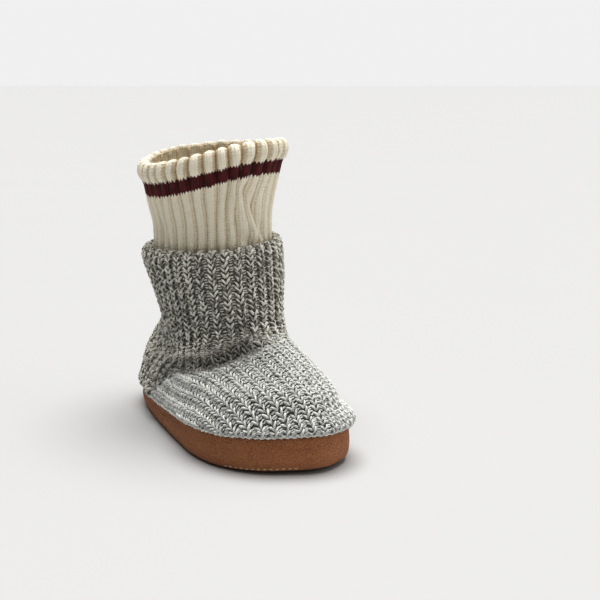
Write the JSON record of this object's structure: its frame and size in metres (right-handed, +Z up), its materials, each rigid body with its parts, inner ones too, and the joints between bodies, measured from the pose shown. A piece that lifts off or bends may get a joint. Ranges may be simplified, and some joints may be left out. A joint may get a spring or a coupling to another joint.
{
  "type": "knitted boot slipper",
  "caption": "Ankle-high knitted boot slipper with a grey marl foot and shaft, a ribbed cream cuff with a dark stripe, and a padded brown platform sole.",
  "frame": {"origin": "on the floor under the middle of the sole, halfway between heel and toe", "axes": "+Z up, -Y towards the toe, -X towards the outer side of the right foot"},
  "size_m": [0.1205, 0.2718, 0.2271],
  "materials": {
    "outsole": "matt, fine grip",
    "sole_suede": "brushed suede wrap, matt",
    "insole": "soft felt",
    "marl_knit": "chunky two-ply marl rib knit",
    "rib_knit": "soft rib knit with one dark red stripe"
  },
  "bodies": {
    "root": {"outsole": "outsole", "midsole": "sole_suede", "insole": "insole", "upper": "marl_knit", "cuff": "rib_knit"}
  },
  "joints": []
}
